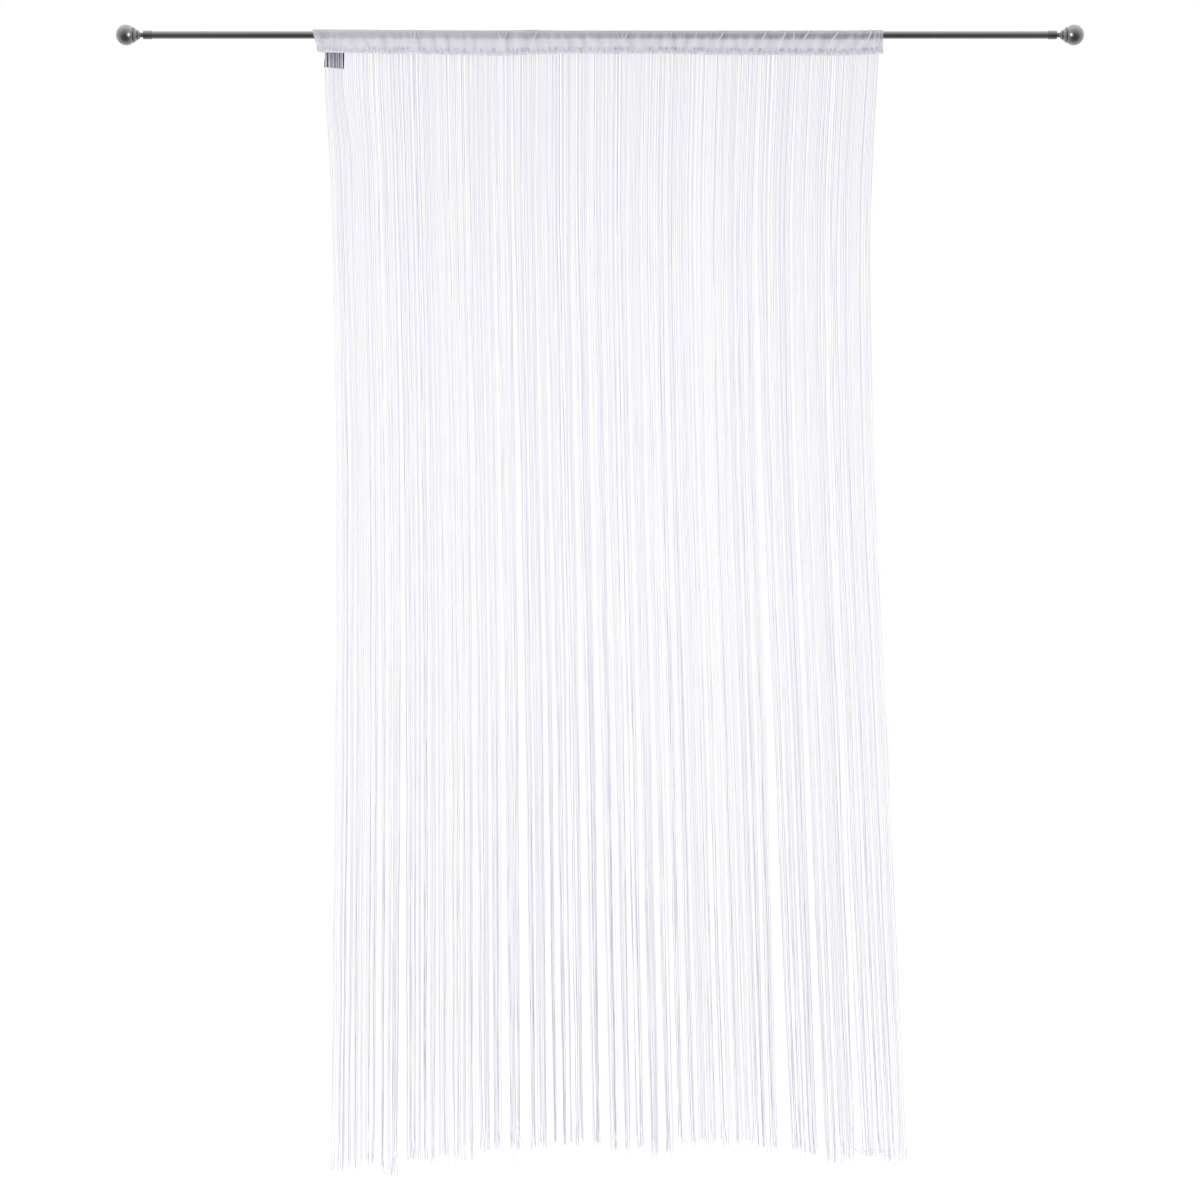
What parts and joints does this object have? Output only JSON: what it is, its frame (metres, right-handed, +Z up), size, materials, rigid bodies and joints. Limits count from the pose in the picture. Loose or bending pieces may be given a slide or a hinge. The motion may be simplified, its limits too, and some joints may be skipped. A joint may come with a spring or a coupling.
{
  "type": "string curtain on a curtain rod",
  "caption": "White string curtain, hanging by the rod pocket of its voile heading band from a straight metal curtain rod with ball finials.",
  "frame": {"origin": "middle of the curtain rod's axis", "axes": "+Z up, +X along the rod, -Y towards the room that the curtain is seen from"},
  "size_m": [2.556, 0.0538, 3.0437],
  "materials": {
    "voile": "thin plain-woven polyester voile, slightly sheer",
    "yarn": "white polyester string, soft sheen",
    "label_cloth": "plain dark woven ribbon",
    "rod_steel": "satin nickel on steel tube",
    "cap_metal": "satin nickel, pressed",
    "nickel": "brushed pearl nickel"
  },
  "bodies": {
    "root": {"rod": "rod_steel", "header": "voile", "strings": "yarn", "sewn_label": "label_cloth", "end_cap_left": "cap_metal", "finial_left": "nickel", "end_cap_right": "cap_metal", "finial_right": "nickel"}
  },
  "joints": []
}
